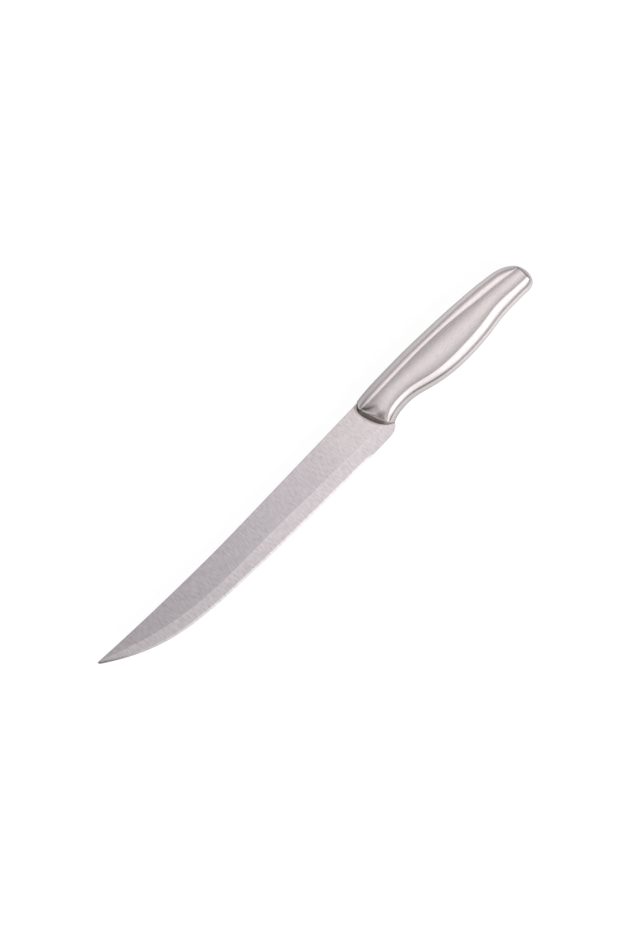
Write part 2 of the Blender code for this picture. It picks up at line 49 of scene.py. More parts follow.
def heading(degrees):
    return np.array([math.cos(math.radians(degrees)), math.sin(math.radians(degrees))])


def bezierChain(knots, steps=60, pull=0.36):
    # smooth line through knots of x, y and heading
    points = [np.array(knots[0][:2], float)]
    for (x0, y0, turn0), (x1, y1, turn1) in zip(knots, knots[1:]):
        start, end = np.array([x0, y0], float), np.array([x1, y1], float)
        reach = pull * np.linalg.norm(end - start)
        leave, arrive = start + reach * heading(turn0), end - reach * heading(turn1)
        for t in np.arange(1, steps + 1) / steps:
            s = 1 - t
            points.append(s**3 * start + 3 * s * s * t * leave + 3 * s * t * t * arrive + t**3 * end)
    return np.array(points)


def spread(points, count):
    # evenly along the line, a little closer at both ends
    points = np.array(points, float)
    length = np.concatenate([[0], np.cumsum(np.linalg.norm(np.diff(points, axis=0), axis=1))])
    even = np.linspace(0, 1, count + 1)
    marks = length[-1] * (even + 0.5 - 0.5 * np.cos(math.pi * even)) / 2
    return np.column_stack([np.interp(marks, length, points[:, axis]) for axis in (0, 1)])


def runOn(line, x):
    # value of a line at x, straight on past both ends
    order = np.argsort(line[:, 0])
    xs, ys = line[order, 0], line[order, 1]
    low = ys[0] + (x - xs[0]) * (ys[1] - ys[0]) / (xs[1] - xs[0])
    high = ys[-1] + (x - xs[-1]) * (ys[-1] - ys[-2]) / (xs[-1] - xs[-2])
    return np.where(x < xs[0], low, np.where(x > xs[-1], high, np.interp(x, xs, ys)))


def linkObject(name, data):
    item = bpy.data.objects.new(name, data)
    bpy.context.scene.collection.objects.link(item)
    return item


def layGrid(shape, rows):
    # a grid with its corners on rows of points
    rows = np.array(rows, float)
    made = bmesh.ops.create_grid(shape, x_segments=rows.shape[1] - 1, y_segments=rows.shape[0] - 1, size=1)
    for vertex, point in zip(made["verts"], rows.reshape(-1, 3)):
        vertex.co = point
    return made["verts"]


def finishMesh(name, shape):
    # from millimetres on the knife to its place in the frame
    bmesh.ops.remove_doubles(shape, verts=shape.verts, dist=weld)
    bmesh.ops.scale(shape, verts=shape.verts, vec=(mm, mm, mm))
    bmesh.ops.translate(shape, verts=shape.verts, vec=knifeZero)
    bmesh.ops.recalc_face_normals(shape, faces=shape.faces)
    # plan coordinates, so that the brushing has a direction
    plan = shape.loops.layers.uv.new("plan")
    for face in shape.faces:
        for loop in face.loops:
            loop[plan].uv = (loop.vert.co.x * planScale, loop.vert.co.y * planScale)
    mesh = bpy.data.meshes.new(name)
    shape.to_mesh(mesh)
    shape.free()
    return mesh


# lengths in millimetres, x toward the tip and y toward the cutting edge; a third number is a heading
blade = {
    "name": "bladeGround",
    "length": 202.3,
    "halfThickness": 0.9,
    "taperStart": 4.5,
    "tipHalf": 0.5,
    "spineY": -11.86,
    "spineBendX": 92.0,
    "spineMiddle": (143.5, -13.05, -2.3),
    "tipSpine": (202.3, -16.5, -4.4),
    "tipEdge": (202.3, -16.1, 100.0),
    "tipRound": (201.4, -14.6, 145.0),
    "sweepMiddle": (148.2, 7.42, 171.5),
    "sweepStart": (105.5, 11.14, 176.4),
    "groundStart": (16.6, 14.35, 177.9),
    "heelStepX": 12.3,
    "edgeRunIn": 5.0,
    "heelY": 14.35,
    "heelFrontX": 1.5,
    "heelMiddle": (-6.0, 12.0, 222.0),
    "tangRootX": -11.0,
    "tangTopY": -8.0,
    "tangBottomY": 4.5,
    "tangMiddleX": -30.0,
    "tangEndX": -45.0,
    "shoulderX": -0.6,
    "shoulderRun": 0.02,
    "bevelKnots": [
        (-8.0, 6.9, -2.4),
        (73.9, 3.66, -2.4),
        (145.0, 0.2, -8.5),
        (199.3, -15.8, -23.0),
    ],
    "bevelSoft": 0.35,
    "edgeHalf": 0.42,
    "edgeWidth": 1.3,
    "edgeLand": 0.04,
    "spineRound": 0.16,
    "spineSteps": 8,
    "groundFromX": -12.0,
    "stations": 420,
    "tipZone": 3.0,
    "tipStations": 30,
    "sharpAngle": 12.0,
    "tintBlend": 0.7,
}


def onKnife(mesh):
    # vertex places in millimetres from the knife's own zero
    return (np.array([vertex.co for vertex in mesh.vertices]) - knifeZero) / mm


def setAttribute(mesh, name, values):
    attribute = mesh.attributes.new(name, "FLOAT", "POINT")
    attribute.data.foreach_set("value", np.array(values, np.float32))


def bladeLines(spec):
    # the spine, the whole lower outline, the cutting edge and the bevel's line, in plan
    spine = bezierChain([(spec["spineBendX"], spec["spineY"], 0.0), spec["spineMiddle"], spec["tipSpine"]])
    sweep = bezierChain([spec["tipRound"], spec["sweepMiddle"], spec["sweepStart"], spec["groundStart"]])
    tipRound = bezierChain([spec["tipEdge"], spec["tipRound"]], 12)
    step = bezierChain([spec["groundStart"], (spec["heelStepX"], spec["heelY"], 180.0)], 16)
    heel = bezierChain([
        (spec["heelFrontX"], spec["heelY"], 180.0),
        spec["heelMiddle"],
        (spec["tangRootX"], spec["tangBottomY"], 180.0),
    ], 40)
    lower = np.vstack([tipRound, sweep[1:], step, heel, [(spec["tangEndX"], spec["tangBottomY"])]])
    lower = lower[np.argsort(lower[:, 0], kind="stable")]
    return spine, lower, sweep, bezierChain(spec["bevelKnots"])


def bladeStations(spec):
    # where the blade's sections are, closer together at the tip
    even = np.linspace(spec["groundFromX"], spec["length"] - spec["tipZone"], spec["stations"])
    atTip = spec["length"] - spec["tipZone"] * (1 - np.linspace(0, 1, spec["tipStations"]) ** 0.5) - weld
    behindShoulder = spec["shoulderX"] - spec["shoulderRun"]
    return sorted({spec["tangEndX"], spec["tangMiddleX"], behindShoulder, spec["shoulderX"],
                   *even, *atTip})


def bladeTop(spec, spine, x):
    # upper outline: the tang's, the straight spine's, and the curve on to the tip
    if x < spec["shoulderX"] - spec["shoulderRun"] / 2:
        return spec["tangTopY"]
    if x < spec["spineBendX"]:
        return spec["spineY"]
    return float(np.interp(x, spine[:, 0], spine[:, 1]))


def bladeSection(spec, lines, x):
    # corners round the blade at x, from the spine down the left side and back up the right
    spine, lower, sweep, bevel = lines
    thinning = (spec["halfThickness"] - spec["tipHalf"]) / (spec["length"] - spec["taperStart"])
    half = spec["halfThickness"] - thinning * max(0, x - spec["taperStart"])
    top, bottom = bladeTop(spec, spine, x), float(np.interp(x, lower[:, 0], lower[:, 1]))
    line, edge = float(runOn(bevel, x)), float(runOn(sweep, x))
    slope = (half - spec["edgeHalf"]) / (edge - spec["edgeWidth"] - line)
    outSlope = (spec["edgeHalf"] - spec["edgeLand"]) / spec["edgeWidth"]
    runIn = min(1, max(0, (x - spec["heelStepX"]) / spec["edgeRunIn"]))
    narrow = edge - spec["edgeWidth"] * runIn * runIn * (3 - 2 * runIn)
    atNarrow = spec["edgeHalf"] + (edge - spec["edgeWidth"] - narrow) * slope

    def height(y):
        if x < spec["bevelKnots"][0][0]:
            return half
        if y <= narrow:
            return min(half, atNarrow + (narrow - y) * slope)
        return max(spec["edgeLand"], atNarrow - (y - narrow) * outSlope)

    # toward the tip the round of the spine, the flat and the bevel share what depth is left
    rounding = min(spec["spineRound"], 0.3 * (bottom - top))
    lineHere = min(max(line, top + 1.2 * rounding), bottom - 1.2 * rounding)
    narrowHere = min(max(narrow, lineHere + 0.1 * (bottom - lineHere)), bottom - 0.05 * rounding)
    soft = min(spec["bevelSoft"], 0.2 * (narrowHere - lineHere), 0.2 * (lineHere - top))
    ys, zs = [top], [0.0]
    for turn in np.linspace(0, math.pi / 2, spec["spineSteps"] + 1):
        ys.append(top + rounding * (1 - math.cos(turn)))
        zs.append(height(ys[-1]) - rounding * (1 - math.sin(turn)))
    flatStart = ys[-1]
    for share in (0.02, 0.25, 0.5, 0.75):
        ys.append(flatStart + (lineHere - soft - flatStart) * share)
        zs.append(height(ys[-1]))
    for y in (lineHere - soft, lineHere + soft):
        ys.append(y)
        zs.append(height(y))
    for share in (0.25, 0.5, 0.75):
        ys.append(lineHere + soft + (narrowHere - lineHere - soft) * share)
        zs.append(height(ys[-1]))
    ys += [narrowHere, bottom, bottom]
    zs += [height(narrowHere), height(bottom), 0.0]
    left = [(x, y, z) for y, z in zip(ys, zs)]
    return left + [(x, y, -z) for x, y, z in left[-2::-1]]


def makeBlade(spec):
    lines = bladeLines(spec)
    shape = bmesh.new()
    layGrid(shape, [bladeSection(spec, lines, x) for x in bladeStations(spec)])
    bmesh.ops.remove_doubles(shape, verts=shape.verts, dist=weld)
    bmesh.ops.holes_fill(shape, edges=[edge for edge in shape.edges if edge.is_boundary])
    mesh = finishMesh(spec["name"], shape)
    mesh.shade_smooth()
    mesh.set_sharp_from_angle(angle=math.radians(spec["sharpAngle"]))
    local, bevel = onKnife(mesh), lines[-1]
    share = (local[:, 1] - runOn(bevel, local[:, 0])) / spec["tintBlend"] + 0.5
    setAttribute(mesh, "groundSide", np.clip(share, 0, 1))
    item = linkObject(spec["name"], mesh)
    flatNormals = item.modifiers.new("flatNormals", "WEIGHTED_NORMAL")
    flatNormals.keep_sharp = True
    return item


# lines of the handle as x, y and heading in degrees, in millimetres
handle = {
    "name": "handleShell",
    "sheet": 0.75,
    "spineKnots": [
        (6.0, -11.2, 193.0),
        (-24.8, -13.3, 180.0),
        (-58.0, -12.14, 176.6),
        (-80.0, -10.49, 174.4),
        (-96.6, -8.56, 170.5),
        (-109.1, -5.6, 155.0),
        (-115.95, 0.3, 118.0),
    ],
    "buttKnots": [
        (-115.95, 0.3, 118.0),
        (-117.45, 5.5, 91.0),
        (-115.7, 11.8, 51.0),
    ],
    "bellyKnots": [
        (-115.7, 11.8, 51.0),
        (-105.4, 13.5, 0.0),
        (-85.9, 14.0, 8.0),
        (-64.2, 15.56, 0.0),
        (-37.0, 12.3, -15.0),
        (-19.2, 8.5, 0.0),
        (-6.6, 10.7, 26.0),
        (6.0, 16.9, 26.0),
    ],
    "spineCrease": [
        (6.0, -7.5, 180.0),
        (-24.8, -7.5, 180.0),
        (-80.0, -4.1, 171.5),
        (-114.4, 0.9, 167.5),
    ],
    "bellyCrease": [
        (-114.4, 7.6, 0.0),
        (-85.9, 6.75, 8.0),
        (-64.2, 8.3, 0.0),
        (-37.0, 5.75, -15.0),
        (-19.2, 2.6, 0.0),
        (-6.0, 5.6, 36.0),
        (6.0, 13.3, 32.0),
    ],
    "halfThickness": 8.0,
    "seamHalf": 0.02,
    "noseDip": 0.35,
    "noseDipX": 1.0,
    "noseFade": 6.0,
    # pressed step beside the spine corner of the nose: x, y and depth along its line
    "stepLine": [(1.2, -7.9, 0.16), (-0.8, -6.1, 0.16), (-2.4, -5.1, 0.15), (-4.6, -4.2, 0.09),
                 (-7.0, -3.4, 0.0)],
    "stepSoft": 0.18,
    # width of the shade painted along the step
    "stepShadeWidth": 1.0,
    # the panel bends down toward the rim, and most beside the belly
    "bendX": -8.3,
    "bendSlope": 0.003,
    "hollowAt": (3.3, 2.4),
    "hollowRise": 0.018,
    "sinkFromX": -14.0,
    "sinkFullZ": 5.0,
    "capX": -114.4,
    "capSteps": 16,
    "capSoftFromY": -2.5,
    "capSoftRun": 4.0,
    "buttDrop": 0.5,
    "buttDropRun": 117.9,
    # crown of the panel, which is flatter toward the nose
    "panelSlope": 0.107,
    "flatterBy": 0.2,
    "flatterFromX": -25.0,
    "flatterRun": 15.0,
    # a shoulder leaves its crease at this angle, and the pulls set how full its curve is
    "creaseAngle": 22.0,
    "creaseSoft": 0.9,
    "topPull": 0.60,
    "sidePull": 0.43,
    # front of the handle in plan: its foot on the blade, and the rim above it
    "noseFoot": [(-0.7, -12.3), (0.5, -11.5), (2.3, -9.8), (3.1, -8.2), (3.25, -6.6), (3.1, -4.7),
                 (2.55, -2.6), (1.65, 0.4), (0.3, 3.6), (-1.1, 6.1), (-3.0, 8.3), (-5.7, 10.0),
                 (-7.2, 10.9)],
    "noseRim": [(-1.3, -12.3), (-0.1, -10.9), (1.0, -9.8), (1.4, -8.5), (1.25, -7.0), (0.75, -5.4),
                (-0.6, -3.2), (-1.65, -0.8), (-2.75, 2.4), (-3.6, 5.6), (-4.5, 7.6), (-6.0, 9.6),
                (-7.3, 10.9)],
    "noseLean": 0.35,
    "footRun": 0.3,
    "footSunk": 0.01,
    # a highlight painted just behind the nose's rim, on its upper part, fading toward the belly
    "highlightBehindRim": 0.3,
    "highlightWidth": 0.45,
    "paintedFromZ": 4.0,
    "highlightToY": 6.0,
    "highlightFade": 3.0,
    # rounding of the nose's rim, most at its two corners, and of the butt on the spine's side
    "easeReach": 7.0,
    "easeMiddle": 0.03,
    "cornerFromY": 6.5,
    "cornerRun": 3.0,
    "rumpReach": 3.0,
    "rumpToY": 1.5,
    "easeRounds": 14,
    "sharpAngle": 16.0,
    "sideStations": 190,
    "acrossSteps": 44,
    "shoulderSteps": 22,
    "noseSteps": 8,
}


def panelHeight(spec, x):
    # top of the panel's crown, which dips at the nose and drops toward the butt
    towardNose = math.exp(min(0.0, x - spec["noseDipX"]) / spec["noseFade"])
    towardButt = min(1.0, max(0.0, -x / spec["buttDropRun"])) ** 2
    return spec["halfThickness"] - spec["noseDip"] * towardNose - spec["buttDrop"] * towardButt


def through(points, steps=8):
    # smooth line through points
    points = np.array(points, float)
    ends = np.vstack([2 * points[0] - points[1], points, 2 * points[-1] - points[-2]])
    line = [points[0]]
    for before, start, end, after in zip(ends, ends[1:], ends[2:], ends[3:]):
        for t in np.arange(1, steps + 1) / steps:
            line.append(0.5 * (2 * start + (end - before) * t
                               + (2 * before - 5 * start + 4 * end - after) * t**2
                               + (3 * start - before - 3 * end + after) * t**3))
    return np.array(line)


def xOnLine(line, y):
    return np.interp(y, line[:, 1], line[:, 0])


def trimToNose(noseRim, line):
    # start a line of the handle on the nose's rim, and spread its points again
    ahead = line[:, 0] - xOnLine(noseRim, line[:, 1])
    if ahead[0] <= 0:
        return line
    behind = int(np.argmax(ahead <= 0))
    share = ahead[behind - 1] / (ahead[behind - 1] - ahead[behind])
    start = line[behind - 1] + (line[behind] - line[behind - 1]) * share
    kept = np.vstack([start, line[behind:]])
    length = np.concatenate([[0], np.cumsum(np.linalg.norm(np.diff(kept, axis=0), axis=1))])
    marks = np.linspace(0, 1, len(line)) ** crowding * length[-1]
    return np.column_stack([np.interp(marks, length, kept[:, axis]) for axis in range(3)])


def nearStep(spec, x, y):
    # signed distance from the pressed step's line, and the step's depth there
    line = np.array(spec["stepLine"])
    nearest, depth = 1e9, 0.0
    for start, end in zip(line, line[1:]):
        along = end[:2] - start[:2]
        share = np.clip(np.dot((x, y) - start[:2], along) / np.dot(along, along), 0, 1)
        offset = (x, y) - (start[:2] + share * along)
        distance = math.hypot(*offset)
        if distance < abs(nearest):
            ahead = along[1] * offset[0] - along[0] * offset[1]
            nearest = math.copysign(distance, ahead)
            depth = start[2] + share * (end[2] - start[2])
    return nearest, depth


def stepShade(spec, x, y):
    # painted shade in the step, most where it is deepest
    nearest, depth = nearStep(spec, x, y)
    return math.exp(-(nearest / spec["stepShadeWidth"]) ** 2) * min(1.0, depth / spec["stepLine"][0][2])


def noseSink(spec, x, y):
    # how far the panel is pressed down behind the nose
    nearest, depth = nearStep(spec, x, y)
    step = depth / (1 + math.exp(-max(-30, min(30, nearest / spec["stepSoft"]))))
    past = max(0.0, x - spec["bendX"])
    middle, spreadY = spec["hollowAt"]
    hollow = spec["hollowRise"] * past**2 * math.exp(-((y - middle) / spreadY) ** 2)
    return step + spec["bendSlope"] * past**2 / (past + 1) + hollow


def cutAtX(line, x):
    # part of a plan line with larger x, ended on a point at x
    inside = line[:, 0] >= x
    if inside[0]:
        last = int(np.argmin(inside))
        share = (line[last - 1, 0] - x) / (line[last - 1, 0] - line[last, 0])
        return np.vstack([line[:last], line[last - 1] + share * (line[last] - line[last - 1])])
    return cutAtX(line[::-1], x)[::-1]


def shoulderShares(spec, steps, width, height, angle):
    # outward and upward shares of a shoulder's profile, from its crease to the seam
    drop = spec["topPull"] * math.tan(math.radians(angle)) * width / height
    t = np.linspace(0, 1, steps + 1) ** crowding
    s = 1 - t
    outward = 3 * s * s * t * spec["topPull"] + 3 * s * t * t + t**3
    upward = s**3 + 3 * s * s * t * (1 - drop) + 3 * s * t * t * spec["sidePull"]
    return outward, upward


def relax(shape, points, weights, rounds):
    # ease points toward the middle of their neighbours, more where the weight is higher
    pairs = np.array([(loop.vert.index, loop.link_loop_next.vert.index)
                      for face in shape.faces for loop in face.loops])
    pairs = np.vstack([pairs, pairs[:, ::-1]])
    count = np.bincount(pairs[:, 0], minlength=len(points))[:, None]
    for _ in range(rounds):
        total = np.column_stack([np.bincount(pairs[:, 0], points[pairs[:, 1], axis], len(points))
                                 for axis in range(3)])
        points = points + 0.5 * weights[:, None] * (total / np.maximum(count, 1) - points)
    return points


def handleSkin(spec, rim, noseRim):
    # rows across the handle from the spine's seam to the belly's, over both shoulders and the panel
    sides, across, steps = spec["sideStations"], spec["acrossSteps"], spec["shoulderSteps"]
    turnBack = int(np.argmin(rim[:, 0]))
    spineRim = spread(cutAtX(rim[:turnBack + 1], spec["capX"]), sides)
    bellyRim = spread(cutAtX(rim[turnBack:], spec["capX"])[::-1], sides)
    spineTop = spread(bezierChain(spec["spineCrease"]), sides)
    bellyTop = spread(bezierChain(spec["bellyCrease"])[::-1], sides)
    skin = np.zeros((sides + 1, 2 * steps + across + 1, 3))
    for station in range(sides + 1):
        near, far = spineTop[station], bellyTop[station]
        span = np.linalg.norm(far - near)
        middleX = 0.5 * (near[0] + far[0])
        flatter = min(1, max(0, (middleX - spec["flatterFromX"]) / spec["flatterRun"]))
        panelSlope = spec["panelSlope"] * (1 - spec["flatterBy"] * flatter)
        shoulderTop = panelHeight(spec, middleX) - span * panelSlope / 4
        for edge, crease, order in ((spineRim[station], near, slice(steps, None, -1)),
                                    (bellyRim[station], far, slice(steps + across, None))):
            width = np.linalg.norm(edge - crease)
            outward, upward = shoulderShares(spec, steps, width, shoulderTop, spec["creaseAngle"])
            part = skin[station, order]
            part[:, :2] = crease + np.outer(outward, edge - crease)
            part[:, 2] = np.maximum(spec["seamHalf"], shoulderTop * upward)
        for column in range(1, across):
            share = column / across
            crown = span * panelSlope * share * (1 - share)
            skin[station, steps + column, :2] = near + (far - near) * share
            skin[station, steps + column, 2] = shoulderTop + crown
        # the panel runs softly into the belly's shoulder
        kink = math.tan(math.radians(spec["creaseAngle"])) - panelSlope
        offset = np.linalg.norm(skin[station, steps + 1:, :2] - far, axis=1)
        fillet = 0.5 * kink * (np.hypot(offset, spec["creaseSoft"]) - offset)
        skin[station, steps + 1:, 2] = np.maximum(spec["seamHalf"], skin[station, steps + 1:, 2] - fillet)
    for station, column in zip(*np.nonzero(skin[:, :, 0] > spec["sinkFromX"])):
        x, y, z = skin[station, column]
        skin[station, column, 2] = z - noseSink(spec, x, y) * min(1, z / spec["sinkFullZ"])
    for column in range(skin.shape[1]):
        skin[:, column] = trimToNose(noseRim, skin[:, column])
    return skin


def buttRows(spec, rim, lastRow):
    # the rounded butt, from the skin's last row out to the rim
    buttRim = rim[rim[:, 0] <= spec["capX"]]
    rows = []
    for x, y, z in lastRow:
        width = max(0.01, x - float(np.interp(y, buttRim[:, 1], buttRim[:, 0])))
        angle = spec["creaseAngle"] * min(1, max(0.1, (y - spec["capSoftFromY"]) / spec["capSoftRun"]))
        outward, upward = shoulderShares(spec, spec["capSteps"], width, max(z, 0.5), angle)
        curve = [(x - width * out, y, max(spec["seamHalf"], z * up)) for out, up in zip(outward, upward)]
        rows.append([(x, y, z), *curve[1:]])
    return rows


def noseRows(spec, noseFoot, firstRow):
    # the nose, from the skin's first row down to the blade, steeper toward its foot
    rows = []
    for x, y, z in firstRow:
        footX = max(x, float(xOnLine(noseFoot, y)))
        onBlade = min(1, max(0, (y - blade["spineY"]) / spec["footRun"]))
        low = min(z, spec["seamHalf"] + (blade["halfThickness"] - spec["footSunk"]) * onBlade)
        line = []
        for share in np.linspace(0, 1, spec["noseSteps"] + 1):
            down = spec["noseLean"] * share + (1 - spec["noseLean"]) * share**2
            line.append((x + (footX - x) * share, y, z + (low - z) * down))
        rows.append(line)
    return rows


def easeCorners(spec, shape, noseFoot, onNose):
    # round off the nose's rim, and the butt on the spine's side
    shape.verts.index_update()
    points = np.array([corner.co for corner in shape.verts])
    isNose = np.zeros(len(points), bool)
    isNose[[corner.index for corner in onNose]] = True
    footGap = xOnLine(noseFoot, points[:, 1]) - points[:, 0]
    atCorner = np.clip((np.abs(points[:, 1] + 0.5) - spec["cornerFromY"]) / spec["cornerRun"], 0, 1)
    weights = spec["easeMiddle"] + (1 - spec["easeMiddle"]) * atCorner
    weights *= np.clip((spec["easeReach"] - footGap) / 2, 0, 1)
    atRump = np.clip((spec["capX"] - points[:, 0] + spec["rumpReach"]) / 2, 0, 1)
    weights += atRump * np.clip(1 - points[:, 1] / spec["rumpToY"], 0, 1)
    # the seam and the nose's foot stay where they are
    held = (points[:, 2] < 1.5 * spec["seamHalf"]) | isNose & (footGap < 0.2)
    weights[held] = 0
    for corner, point in zip(shape.verts, relax(shape, points, np.clip(weights, 0, 1), spec["easeRounds"])):
        corner.co = point


def markHandle(spec, mesh, noseRim, noseFoot):
    # how far a place is on the nose, where a highlight is painted along its rim, and where shade is painted
    # in the pressed step
    local = onKnife(mesh)
    rimX, footX = xOnLine(noseRim, local[:, 1]), xOnLine(noseFoot, local[:, 1])
    ahead = (local[:, 0] - rimX) / np.maximum(footX - rimX, 0.2)
    setAttribute(mesh, "noseFace", np.clip(ahead, 0, 1))
    # a highlight painted along the nose's rim
    rimHighlight = np.exp(-((local[:, 0] - rimX + spec["highlightBehindRim"]) / spec["highlightWidth"]) ** 2)
    rimHighlight *= np.clip(local[:, 2] - spec["paintedFromZ"], 0, 1)
    rimHighlight *= np.clip((spec["highlightToY"] - local[:, 1]) / spec["highlightFade"], 0, 1)
    setAttribute(mesh, "rimPaintedHighlight", rimHighlight)
    paintedShade = [stepShade(spec, x, y) if x > spec["sinkFromX"] and z > spec["paintedFromZ"] else 0
             for x, y, z in local]
    setAttribute(mesh, "stepPaintedShade", paintedShade)


def makeHandleHalf(spec):
    rim = bezierChain(spec["spineKnots"])
    rim = np.vstack([rim, bezierChain(spec["buttKnots"])[1:], bezierChain(spec["bellyKnots"])[1:]])
    noseRim, noseFoot = through(spec["noseRim"]), through(spec["noseFoot"])
    skin = handleSkin(spec, rim, noseRim)
    butt, nose = buttRows(spec, rim, skin[-1]), noseRows(spec, noseFoot, skin[0])
    shape = bmesh.new()
    skinCorners, buttCorners, noseCorners = [layGrid(shape, rows) for rows in (skin, butt, nose)]
    # the butt's and the nose's first corners become the skin's
    joined = dict(zip(buttCorners[::spec["capSteps"] + 1], skinCorners[-len(butt):]))
    joined.update(zip(noseCorners[::spec["noseSteps"] + 1], skinCorners[:len(nose)]))
    onNose = [corner for corner in noseCorners if corner not in joined]
    bmesh.ops.weld_verts(shape, targetmap=joined)
    easeCorners(spec, shape, noseFoot, onNose)
    mesh = finishMesh(spec["name"], shape)
    if sum(face.normal.z for face in mesh.polygons) < 0:
        mesh.flip_normals()
    mesh.shade_smooth()
    mesh.set_sharp_from_angle(angle=math.radians(spec["sharpAngle"]))
    markHandle(spec, mesh, noseRim, noseFoot)
    return mesh


def turnedOver(mesh):
    # the right half mirrors the left through the knife's middle plane
    copy = mesh.copy()
    middle = Matrix.Translation((0, 0, 2 * knifeZero[2]))
    copy.transform(middle @ Matrix.Scale(-1, 4, (0, 0, 1)))
    copy.flip_normals()
    return copy


def addSheetThickness(item, spec):
    wall = item.modifiers.new("sheet", "SOLIDIFY")
    wall.thickness = spec["sheet"] * mm
    wall.offset = -1
    return item


class NodeMaker:
    # short calls for adding and joining shader nodes
    def __init__(self, name):
        self.material = bpy.data.materials.new(name)
        self.material.use_nodes = True
        self.tree = self.material.node_tree
        self.shader = self.tree.nodes["Principled BSDF"]

    def add(self, kind, **settings):
        node = self.tree.nodes.new(kind)
        for key, value in settings.items():
            setattr(node, key, value)
        return node

    def join(self, source, target):
        self.tree.links.new(source, target)

    def stretchedNoise(self, scale, detail, shift=(0, 0, 0)):
        coordinates = self.add("ShaderNodeTexCoord")
        mapping = self.add("ShaderNodeMapping")
        mapping.inputs["Scale"].default_value = scale
        mapping.inputs["Location"].default_value = shift
        noise = self.add("ShaderNodeTexNoise")
        noise.inputs["Scale"].default_value = 1.0
        noise.inputs["Detail"].default_value = detail
        noise.inputs["Roughness"].default_value = 0.55
        self.join(coordinates.outputs["Object"], mapping.inputs["Vector"])
        self.join(mapping.outputs["Vector"], noise.inputs["Vector"])
        return noise.outputs["Fac"]

    def axis(self, name):
        split = self.add("ShaderNodeSeparateXYZ")
        self.join(self.add("ShaderNodeTexCoord").outputs["Object"], split.inputs["Vector"])
        return split.outputs[name]

    def fromPoint(self, middle, flattened):
        # distance in plan from a point, with y drawn together
        mapping = self.add("ShaderNodeMapping")
        mapping.inputs["Location"].default_value = (-middle[0], -middle[1] * flattened, 0)
        mapping.inputs["Scale"].default_value = (1, flattened, 0)
        self.join(self.add("ShaderNodeTexCoord").outputs["Object"], mapping.inputs["Vector"])
        length = self.add("ShaderNodeVectorMath", operation="LENGTH")
        self.join(mapping.outputs["Vector"], length.inputs[0])
        return length.outputs["Value"]

    def remap(self, value, low, high, toLow, toHigh):
        node = self.add("ShaderNodeMapRange")
        for key, number in (("From Min", low), ("From Max", high), ("To Min", toLow), ("To Max", toHigh)):
            node.inputs[key].default_value = number
        self.join(value, node.inputs["Value"])
        return node.outputs["Result"]

    def math(self, operation, first, second):
        node = self.add("ShaderNodeMath", operation=operation)
        for socket, value in zip(node.inputs, (first, second)):
            if isinstance(value, (int, float)):
                socket.default_value = value
            else:
                self.join(value, socket)
        return node.outputs[0]

    def tint(self, factor, first, second):
        node = self.add("ShaderNodeMix", data_type="RGBA")
        colours = [socket for socket in node.inputs if socket.type == "RGBA"]
        for socket, colour in zip(colours, (first, second)):
            if isinstance(colour, tuple):
                socket.default_value = (*colour, 1)
            else:
                self.join(colour, socket)
        self.join(factor, node.inputs[0])
        return [socket for socket in node.outputs if socket.type == "RGBA"][0]

    def bump(self, height, strength, distance):
        node = self.add("ShaderNodeBump")
        node.inputs["Strength"].default_value = strength
        node.inputs["Distance"].default_value = distance
        self.join(height, node.inputs["Height"])
        return node.outputs["Normal"]


def brushed(make, stretch):
    # highlights drawn out across the brush marks
    tangent = make.add("ShaderNodeTangent", direction_type="UV_MAP", uv_map="plan")
    make.join(tangent.outputs["Tangent"], make.shader.inputs["Tangent"])
    make.shader.inputs["Anisotropic"].default_value = stretch
    make.shader.inputs["Metallic"].default_value = 1.0


def brushGrain(make, spec):
    # fine and broad brush marks together, the broad ones alone, and a cloudy roughness
    fine = make.stretchedNoise(spec["fineMarks"], 2.0)
    broad = make.stretchedNoise(spec["broadMarks"], 4.0, shift=(3, 1, 2))
    streaks = make.math("ADD", make.math("MULTIPLY", fine, 0.5), make.math("MULTIPLY", broad, 0.5))
    cloud = make.remap(make.stretchedNoise(spec["clouds"], 2.0, shift=(5, 5, 5)), 0.3, 0.7, -0.02, 0.02)
    rough = make.math("ADD", make.remap(streaks, 0.3, 0.7, *spec["roughness"]), cloud)
    return streaks, broad, rough


# noise scales are marks a metre along x, y and z, and colours go from a mark's dark to its light
bladeFinish = {
    "fineMarks": (9000, 500, 500),
    "broadMarks": (2400, 320, 320),
    "clouds": (70, 90, 90),
    "flatAtHeel": [(0.60, 0.567, 0.563), (0.775, 0.732, 0.727)],
    "flatAtTip": [(0.56, 0.530, 0.555), (0.73, 0.690, 0.723)],
    "heelToTip": (-0.04, 0.01),
    "ground": [(0.73, 0.69, 0.71), (0.91, 0.865, 0.885)],
    # shade is painted on the steel beside the foot of the handle, a painted contact shadow
    "paintedShade": (0.40, 0.37, 0.36),
    "shadeMiddle": (-0.0564, -0.0064),
    "shadeFlattened": 0.93,
    "shadeEdge": (0.0176, 0.0187),
    "roughness": (0.17, 0.23),
    "stretch": 0.5,
    "bump": (0.12, 0.00003),
}


def bladeSteel(spec):
    make = NodeMaker("bladeSteel")
    streaks, broad, rough = brushGrain(make, spec)
    shade = make.remap(broad, 0.36, 0.64, 0, 1)
    flatHeel, flatTip = make.tint(shade, *spec["flatAtHeel"]), make.tint(shade, *spec["flatAtTip"])
    flat = make.tint(make.remap(make.axis("X"), *spec["heelToTip"], 0, 1), flatHeel, flatTip)
    side = make.add("ShaderNodeAttribute", attribute_name="groundSide").outputs["Fac"]
    colour = make.tint(side, flat, make.tint(shade, *spec["ground"]))
    # painted shade on the steel beside the handle's foot
    distance = make.fromPoint(spec["shadeMiddle"], spec["shadeFlattened"])
    colour = make.tint(make.remap(distance, *spec["shadeEdge"], 0, 1), spec["paintedShade"], colour)
    make.join(colour, make.shader.inputs["Base Color"])
    make.join(rough, make.shader.inputs["Roughness"])
    brushed(make, spec["stretch"])
    make.join(make.bump(streaks, *spec["bump"]), make.shader.inputs["Normal"])
    return make.material


